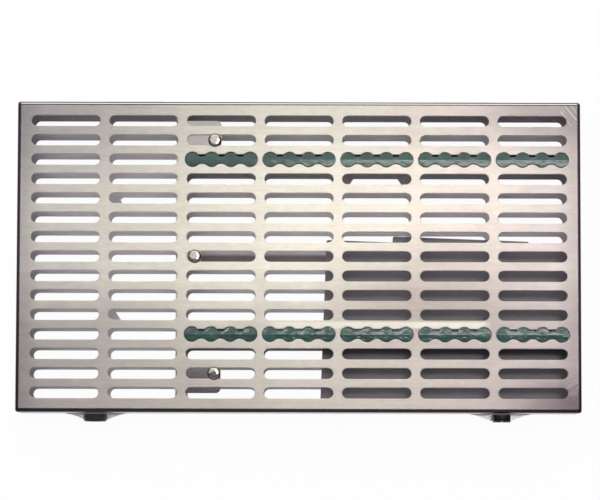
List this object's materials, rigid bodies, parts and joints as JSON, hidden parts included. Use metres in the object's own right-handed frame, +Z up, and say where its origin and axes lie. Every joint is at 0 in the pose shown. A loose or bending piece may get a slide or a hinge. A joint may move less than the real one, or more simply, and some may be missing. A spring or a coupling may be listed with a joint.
{
  "type": "dental instrument cassette",
  "caption": "Slotted steel sterilisation case with a hinged lid, silicone-lined rails for hand instruments, a hanging divider and turn latches at the front.",
  "frame": {"origin": "centre of the overall box, on the underside of the base tray", "axes": "+X along the long side to the right, +Y towards the hinges, +Z up"},
  "size_m": [0.3386, 0.1942, 0.0324],
  "materials": {
    "brushed_steel": "brushed along the case's length, with light scratches",
    "polished_steel": "polished",
    "green_silicone": "satin dark green silicone"
  },
  "bodies": {
    "base": {"base_tray": "brushed_steel", "cradle_rear_1": "green_silicone", "cradle_rear_2": "green_silicone", "cradle_rear_3": "green_silicone", "cradle_rear_4": "green_silicone", "cradle_rear_5": "green_silicone", "cradle_front_1": "green_silicone", "cradle_front_2": "green_silicone", "cradle_front_3": "green_silicone", "cradle_front_4": "green_silicone", "cradle_front_5": "green_silicone", "floor_plate": "polished_steel", "hinge_base_leaf_left": "polished_steel", "hinge_base_leaf_right": "polished_steel", "hinge_pin_left": "polished_steel", "hinge_pin_right": "polished_steel", "latch_lip_left": "brushed_steel", "latch_lip_right": "brushed_steel"},
    "lid": {"lid": "brushed_steel", "lid_insert_rear_1": "green_silicone", "lid_insert_rear_2": "green_silicone", "lid_insert_rear_3": "green_silicone", "lid_insert_rear_4": "green_silicone", "lid_insert_rear_5": "green_silicone", "lid_insert_front_1": "green_silicone", "lid_insert_front_2": "green_silicone", "lid_insert_front_3": "green_silicone", "lid_insert_front_4": "green_silicone", "lid_insert_front_5": "green_silicone", "divider": "brushed_steel", "divider_rivet_rear": "polished_steel", "divider_rivet_middle": "polished_steel", "divider_rivet_front": "polished_steel", "hinge_lid_leaf_left": "polished_steel", "hinge_lid_leaf_right": "polished_steel"},
    "latch_left": {"latch_knob_left": "polished_steel", "latch_cam_left": "polished_steel"},
    "latch_right": {"latch_knob_right": "polished_steel", "latch_cam_right": "polished_steel"}
  },
  "joints": [
    {"name": "lid_hinge", "type": "hinge", "parent": "base", "child": "lid", "pos_m": [0, 0.09565, 0.01645], "axis": [-1, 0, 0], "range_deg": [0, 180]},
    {"name": "latch_left_turn", "type": "hinge", "parent": "lid", "child": "latch_left", "pos_m": [-0.1217, -0.09155, 0.0238], "axis": [0, 1, 0], "range_deg": [0, 90]},
    {"name": "latch_right_turn", "type": "hinge", "parent": "lid", "child": "latch_right", "pos_m": [0.1217, -0.09155, 0.0238], "axis": [0, -1, 0], "range_deg": [0, 90]}
  ]
}
